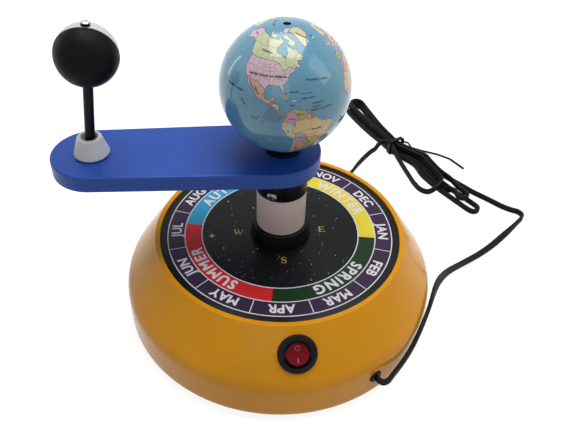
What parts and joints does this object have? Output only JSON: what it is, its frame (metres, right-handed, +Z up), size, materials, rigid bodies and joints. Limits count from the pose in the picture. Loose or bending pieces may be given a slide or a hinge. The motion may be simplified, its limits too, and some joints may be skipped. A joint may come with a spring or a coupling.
{
  "type": "moon phase demonstrator",
  "caption": "Motor-driven desk demonstrator of moon phases: a geared arm turns round a printed dial base and carries a globe and a half-dark moon ball on a rod.",
  "frame": {"origin": "on the table, under the axis of the post", "axes": "+Z up along the post; the arm points along -X at rest; the switch faces -Y"},
  "size_m": [0.3516, 0.3577, 0.2185],
  "materials": {
    "pad_rubber": "matte",
    "black_plastic": "satin",
    "steel": "satin",
    "chrome_metal": "polished",
    "yellow_plastic": "glossy",
    "dial_face": "printed, glossy",
    "white_plastic": "satin",
    "nylon": "matte",
    "motor_metal": "satin",
    "red_plastic": "glossy",
    "brass": "satin",
    "lead_rubber": "satin",
    "tie_plastic": "satin",
    "blue_plastic": "glossy",
    "moon_black": "satin",
    "moon_white": "satin",
    "globe_plastic": "printed, glossy"
  },
  "bodies": {
    "base": {"base_plate": "black_plastic", "plate_screws": "steel", "base_shell": "yellow_plastic", "dial_disc": "dial_face", "post_socket": "black_plastic", "socket_nut": "black_plastic", "post_tube": "white_plastic", "lower_bush": "nylon", "top_collar": "black_plastic", "collar_screw": "steel", "thrust_washer": "nylon", "upper_bush": "nylon", "sun_gear": "nylon", "motor_plate": "steel", "hanger_screws": "steel", "gear_motor": "motor_metal", "motor_screws": "steel", "switch_housing": "black_plastic", "switch_terminals": "brass", "terminal_block": "white_plastic", "inner_leads": "lead_rubber", "lead_clamp": "nylon", "lead_grommet": "black_plastic", "lead_stretch": "lead_rubber", "lead_hank": "lead_rubber", "hank_tie": "tie_plastic", "lead_tail": "lead_rubber", "plug_body": "black_plastic", "plug_pins": "brass", "base_pad": "pad_rubber"},
    "arm": {"motor_shaft": "steel", "shaft_coupling": "brass", "coupling_screws": "steel", "drive_shaft": "steel", "arm_housing": "blue_plastic", "arm_cover": "blue_plastic", "arm_screws": "steel", "idler_pins": "steel", "moon_bush": "nylon", "globe_seat": "black_plastic", "globe_spindle": "steel"},
    "idler_1": {"idler_gear_1": "nylon"},
    "idler_2": {"idler_gear_2": "nylon"},
    "idler_3": {"idler_gear_3": "nylon"},
    "moon": {"moon_gear": "nylon", "gear_keeper": "steel", "moon_socket": "white_plastic", "moon_rod": "black_plastic", "moon_dark": "moon_black", "moon_light": "moon_white", "moon_ferrule": "black_plastic", "moon_screw": "chrome_metal"},
    "globe": {"globe_north": "globe_plastic", "globe_south": "globe_plastic", "pole_plugs": "black_plastic"},
    "switch": {"switch_rocker": "red_plastic"}
  },
  "joints": [
    {"name": "arm_spin", "type": "hinge", "parent": "base", "child": "arm", "pos_m": [0, 0, 0.1275], "axis": [0, 0, 1], "continuous": true},
    {"name": "idler_1_spin", "type": "hinge", "parent": "arm", "child": "idler_1", "pos_m": [-0.0285, 0, 0.1275], "axis": [0, 0, 1], "continuous": true},
    {"name": "idler_2_spin", "type": "hinge", "parent": "arm", "child": "idler_2", "pos_m": [-0.057, 0, 0.1275], "axis": [0, 0, 1], "continuous": true},
    {"name": "idler_3_spin", "type": "hinge", "parent": "arm", "child": "idler_3", "pos_m": [-0.0855, 0, 0.1275], "axis": [0, 0, 1], "continuous": true},
    {"name": "moon_spin", "type": "hinge", "parent": "arm", "child": "moon", "pos_m": [-0.114, 0, 0.1275], "axis": [0, 0, 1], "continuous": true},
    {"name": "globe_spin", "type": "hinge", "parent": "arm", "child": "globe", "pos_m": [0, 0, 0.1762], "axis": [0, 0, 1], "continuous": true},
    {"name": "rocker_tilt", "type": "hinge", "parent": "base", "child": "switch", "pos_m": [0.0029, -0.09231, 0.05017], "axis": [0.9995, 0.0314, 0], "range_deg": [0, 22]}
  ],
  "couplings": [
    {"joint": "idler_1_spin", "follows": "arm_spin", "ratio": 0.96552},
    {"joint": "idler_2_spin", "follows": "arm_spin", "ratio": -1},
    {"joint": "idler_3_spin", "follows": "arm_spin", "ratio": 0.96552},
    {"joint": "moon_spin", "follows": "arm_spin", "ratio": -1}
  ]
}
